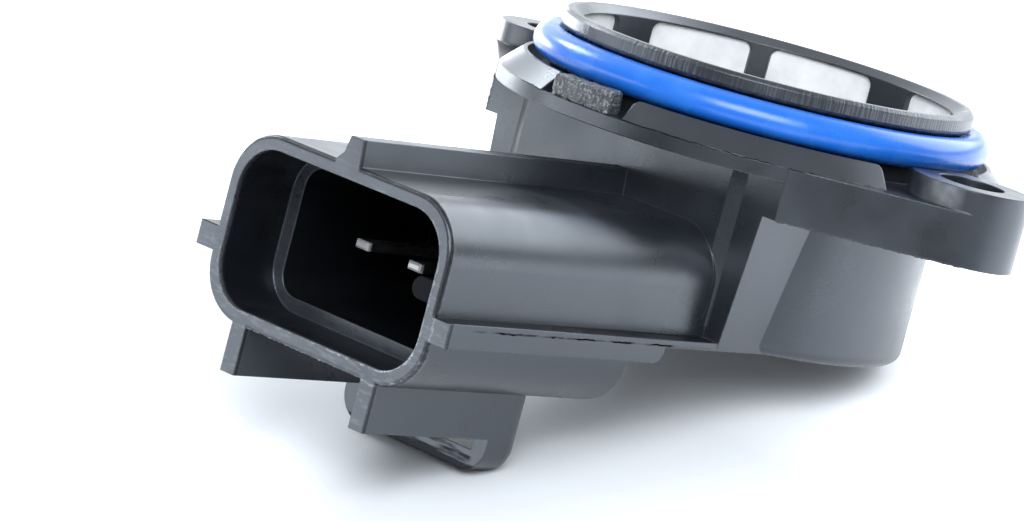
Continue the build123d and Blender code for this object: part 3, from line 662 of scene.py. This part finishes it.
natural = moulded_plastic(
    "natural_rotor",
    colour=(0.58, 0.56, 0.49),
    worn=(0.7, 0.69, 0.63),
    rough=0.45,
    grain=5000.0,
    edge=0.12 * MM,
    wear=0.3,
    index=1.5,
)
sealant = moulded_plastic(
    "cast_sealant",
    colour=(0.05, 0.05, 0.056),
    worn=(0.1, 0.1, 0.11),
    rough=0.34,
    grain=2500.0,
    edge=0.1 * MM,
    wear=0.2,
    index=1.45,
)
carbon = moulded_plastic(
    "carbon_ink",
    colour=(0.018, 0.018, 0.02),
    worn=(0.05, 0.05, 0.05),
    rough=0.55,
    grain=9000.0,
    edge=0.03 * MM,
    wear=0.2,
    index=1.5,
)
blue = ring_rubber("blue_rubber", colour=(0.012, 0.15, 0.66), pale=(0.07, 0.30, 0.84))
tin = plated_metal(
    "tin_plate", colour=(0.86, 0.86, 0.85), rough=0.30, stretch=(1.0, 0.06, 1.0), matt_up_to=BLADE_CUT_Y
)
spring_steel = plated_metal("spring_steel", colour=(0.50, 0.50, 0.52), rough=0.32, stretch=(1.0, 1.0, 0.06))
contact_brass = plated_metal("contact_strip", colour=(0.78, 0.58, 0.30), rough=0.3, stretch=(0.06, 1.0, 1.0))
silver = plated_metal("silver_ink", colour=(0.74, 0.73, 0.70), rough=0.42, stretch=(1.0, 1.0, 1.0))
solder = plated_metal("solder", colour=(0.72, 0.72, 0.73), rough=0.22, stretch=(1.0, 1.0, 1.0))
laminate = printed_board("board_laminate", colour=(0.04, 0.20, 0.09))

DRESS = {
    "housing": black,
    "rear_cover": cover_black,
    "liner_ring": white,
    "seal_ring": blue,
    "cover_seal": sealant,
    "terminal_supply": tin,
    "terminal_signal": tin,
    "terminal_ground": tin,
    "rotor": natural,
    "return_spring": spring_steel,
    "wave_washer": spring_steel,
    "wiper": contact_brass,
    "element_board": laminate,
    "resistive_track": carbon,
    "collector_track": silver,
    "track_leads": silver,
    "solder_joints": solder,
}
for node_name, material in DRESS.items():
    surfaces = nodes[node_name].data.materials
    surfaces.clear()
    surfaces.append(material)


def on_base(name, shape, material):
    """Turns a bmesh into a piece of the moulding that rides with the housing."""
    mesh = bpy.data.meshes.new(name)
    bmesh.ops.recalc_face_normals(shape, faces=shape.faces)
    shape.to_mesh(mesh)
    shape.free()
    mesh.materials.append(material)
    made = bpy.data.objects.new(name, mesh)
    scene.collection.objects.link(made)
    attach(made, "base")


def squared(value):
    """Draws a value between -1 and 1 out towards them, which squares a round outline."""
    return math.copysign(abs(value) ** GATE_SQUARE, value)


def gate_point(along, turn):
    """One point of the gate stub: how far along it, and how far round its outline."""
    full = max(0.02, 1.0 - abs(along) ** GATE_BLUNT) ** 0.5
    across = squared(math.cos(turn)) * full
    up = squared(math.sin(turn)) * full
    angle = GATE_AT + along * GATE_HALF_ARC
    radius = GATE_MID_R + across * GATE_HALF_R
    low = PLATE_TOP - GATE_SINK
    high = PLATE_TOP + GATE_RISE
    height = (low + high) / 2 + up * (high - low) / 2 * (1.0 + GATE_SLOPE * along)
    spot = Vector((radius * math.cos(angle), radius * math.sin(angle), height))
    crumb = noise.noise(spot * CRUMB_GRAINS) + FINE_CRUMB_SHARE * noise.noise(spot * FINE_CRUMB_GRAINS)
    outward = Vector((math.cos(angle) * across, math.sin(angle) * across, up))
    return spot + outward * crumb * GATE_CRUMB


def gate_break():
    """Granular stub where the moulding was snapped off its gate."""
    shape = bmesh.new()
    rings = []
    for slice_no in range(GATE_SLICES + 1):
        along = 2.0 * slice_no / GATE_SLICES - 1.0
        turns = [math.tau * step / GATE_STEPS for step in range(GATE_STEPS)]
        rings.append([shape.verts.new(gate_point(along, turn)) for turn in turns])
    for first, second in zip(rings, rings[1:]):
        for step in range(GATE_STEPS):
            following = (step + 1) % GATE_STEPS
            shape.faces.new((first[step], first[following], second[following], second[step]))
    shape.faces.new(rings[0][::-1])
    shape.faces.new(rings[-1])
    on_base("gate_break", shape, broken)


def flash(name, path, reach, thick, ragged, material, even=0.45):
    """Ragged sliver of flash along an edge: each point of the path has the way in which it sticks out."""
    shape = bmesh.new()
    rows = []
    for index, (point, outward) in enumerate(path):
        after = path[min(index + 1, len(path) - 1)][0]
        before = path[max(index - 1, 0)][0]
        across = (after - before).cross(outward).normalized() * thick / 2
        fine = noise.noise(point * ragged * FLASH_FINE_GRAINS)
        rough = noise.noise(point * ragged) + FLASH_FINE_SHARE * fine
        tip = point + outward * reach * max(FLASH_LEAST, even + FLASH_SWING * (1.0 - even) * rough)
        root = point - outward * thick
        rows.append([shape.verts.new(corner) for corner in (root + across, tip, root - across)])
    for first, second in zip(rows, rows[1:]):
        for corner in range(3):
            following = (corner + 1) % 3
            shape.faces.new((first[corner], second[corner], second[following], first[following]))
    shape.faces.new(rows[0])
    shape.faces.new(rows[-1][::-1])
    on_base(name, shape, material)


def line(start, end, outward, steps):
    """Straight path for a sliver of flash."""
    start, end, outward = Vector(start), Vector(end), Vector(outward).normalized()
    return [(start.lerp(end, step / steps), outward) for step in range(steps + 1)]


def ear_flash():
    """Flash along the lower edge of each ear and up its end beside the lip."""
    lean = math.acos((LIP_R - EAR_R) / EAR_X)
    for side, label in ((1, "right"), (-1, "left")):
        out = Vector((side * math.cos(lean), -math.sin(lean), 0.0))
        tip = Vector((side * EAR_X, 0.0, EAR_BOTTOM)) + out * EAR_R
        back = Vector((out.y, -out.x, 0.0)) * side
        root = tip - back * ((tip.y - FRONT_Y) / back.y)
        edge = line(root, tip, (out.x, out.y, -1.6), 320)
        flash(f"ear_flash_{label}", edge, reach=0.09 * MM, thick=0.06 * MM, ragged=5200.0, material=black)
        top = Vector((root.x, root.y, LIP_BOTTOM))
        seam = line(top, root, (side * 0.3, -1.0, 0.0), 80)
        flash(f"ear_seam_{label}", seam, reach=0.09 * MM, thick=0.06 * MM, ragged=4200.0, material=black)


def shell_outline(y, grow, steps):
    """Path round the upper side of the connector shell, from one side to the other."""
    path = []
    for side in (1, -1):
        centre = Vector((side * (SHELL_HALF_W - SHELL_CORNER), y, SHELL_Z + SHELL_HALF_H - SHELL_CORNER))
        for step in range(steps + 1):
            angle = math.pi / 2 * step / steps
            angle = angle if side > 0 else math.pi / 2 + angle
            out = Vector((math.cos(angle), 0.0, math.sin(angle)))
            leaning = (out + Vector((0.0, -1.0, 0.0))).normalized()
            path.append((centre + out * (SHELL_CORNER + grow), leaning))
    right, right_out = path[0]
    left, left_out = path[-1]
    right_low = Vector((SHELL_HALF_W + grow, y, SHELL_Z))
    left_low = Vector((-SHELL_HALF_W - grow, y, SHELL_Z))
    parts = [step / SHELL_SIDE_STEPS for step in range(SHELL_SIDE_STEPS + 1)]
    first = [(right_low.lerp(right, part), right_out) for part in parts[:-1]]
    last = [(left.lerp(left_low, part), left_out) for part in parts[1:]]
    return first + path + last


def shell_seam():
    """Parting line where the connector shell runs into the wall under the flange."""
    path = shell_outline(PAD_Y, 0.01 * MM, 40)
    flash("shell_seam", path, reach=0.06 * MM, thick=0.05 * MM, ragged=900.0, material=black)


def mouth_flash():
    """Torn flash along the lower lip of the mouth."""
    half = SHELL_HALF_W - SHELL_CORNER
    y = MOUTH_Y + MOUTH_FLASH_IN
    z = SHELL_Z - SHELL_HALF_H + MOUTH_FLASH_UP
    path = line((half, y, z), (-half, y, z), (0.0, -0.7, -1.0), 500)
    flash("mouth_flash", path, reach=0.11 * MM, thick=0.08 * MM, ragged=5200.0, material=broken)


def skirt_flash():
    """Ragged lower edge of the spigot's skirt, just above the rubber ring."""
    down = Vector((0.0, 0.0, -1.0))
    path = []
    for step in range(SKIRT_STEPS + 1):
        turn = math.tau * step / SKIRT_STEPS
        path.append((Vector((SKIRT_R * math.cos(turn), SKIRT_R * math.sin(turn), SKIRT_LOW)), down))
    flash("skirt_flash", path, reach=0.3 * MM, thick=0.08 * MM, ragged=1500.0, material=black, even=0.85)


def rib_flash():
    """Parting line along the outer face of each side rib."""
    for side, label in ((1, "right"), (-1, "left")):
        start = (side * RIB_FACE_X, MOUTH_Y + 4.0 * MM, RIB_LINE_Z)
        end = (side * RIB_FACE_X, FRONT_Y - 0.6 * MM, RIB_LINE_Z)
        path = line(start, end, (side, 0.0, -0.5), 420)
        flash(f"rib_flash_{label}", path, reach=0.07 * MM, thick=0.05 * MM, ragged=3600.0, material=black)


def table():
    """Round piece of table under the sensor, tilted to where it rests."""
    mesh = bpy.data.meshes.new("table")
    shape = bmesh.new()
    bmesh.ops.create_circle(shape, cap_ends=True, segments=TABLE_SEGMENTS, radius=TABLE_RADIUS)
    shape.to_mesh(mesh)
    shape.free()
    top = bpy.data.objects.new("table", mesh)
    scene.collection.objects.link(top)
    lean = Matrix.Rotation(TABLE_TILT, 4, "X")
    top.matrix_world = lean @ Matrix.Translation((0.0, 0.0, TABLE_DROP))
    mesh.materials.append(table_top("table_white"))


def softbox(name, at, width, height, power):
    """Rectangular lamp that faces the sensor."""
    lamp = bpy.data.lights.new(name, "AREA")
    lamp.shape = "RECTANGLE"
    lamp.size = width
    lamp.size_y = height
    lamp.energy = power
    lamp.color = LAMP_COLOUR
    holder = bpy.data.objects.new(name, lamp)
    scene.collection.objects.link(holder)
    away = (Vector(at) - LAMP_AIM).normalized()
    holder.matrix_world = Matrix.Translation(at) @ away.to_track_quat("Z", "Y").to_matrix().to_4x4()


def sky():
    """Studio that fades from white behind the sensor to a dim room behind the camera."""
    world = bpy.data.worlds.new("studio")
    scene.world = world
    world.use_nodes = True
    tree = world.node_tree
    back = tree.nodes["Background"]
    back.inputs["Color"].default_value = SKY_COLOUR
    towards = add(tree, "ShaderNodeTexCoord").outputs["Generated"]
    facing = add(tree, "ShaderNodeVectorMath", {0: towards, 1: SKY_TOWARDS}, operation="DOT_PRODUCT")
    strength = ramp(tree, facing.outputs["Value"], SKY_DIM_UP_TO, SKY_BRIGHT_FROM, SKY_DIM, SKY_BRIGHT)
    tree.links.new(strength, back.inputs["Strength"])


def camera():
    """Long lens from the side of the connector's mouth, rolled as in the picture."""
    lens = bpy.data.cameras.new("camera")
    lens.sensor_fit = "HORIZONTAL"
    lens.sensor_width = CAMERA_SENSOR
    lens.lens = CAMERA_LENS
    lens.clip_start = CAMERA_NEAR
    eye = bpy.data.objects.new("camera", lens)
    scene.collection.objects.link(eye)
    back = (CAMERA_AT - CAMERA_AIM).normalized()
    right = CAMERA_UP.cross(back).normalized()
    turn = Matrix((right, back.cross(right), back)).transposed()
    eye.matrix_world = Matrix.Translation(CAMERA_AT) @ turn.to_4x4()
    scene.camera = eye


gate_break()
ear_flash()
shell_seam()
mouth_flash()
skirt_flash()
rib_flash()
table()
sky()
for lamp_name, (stand, width, height, power) in SOFTBOXES.items():
    softbox(lamp_name, stand, width, height, power)
camera()
scene.view_settings.view_transform = "Standard"
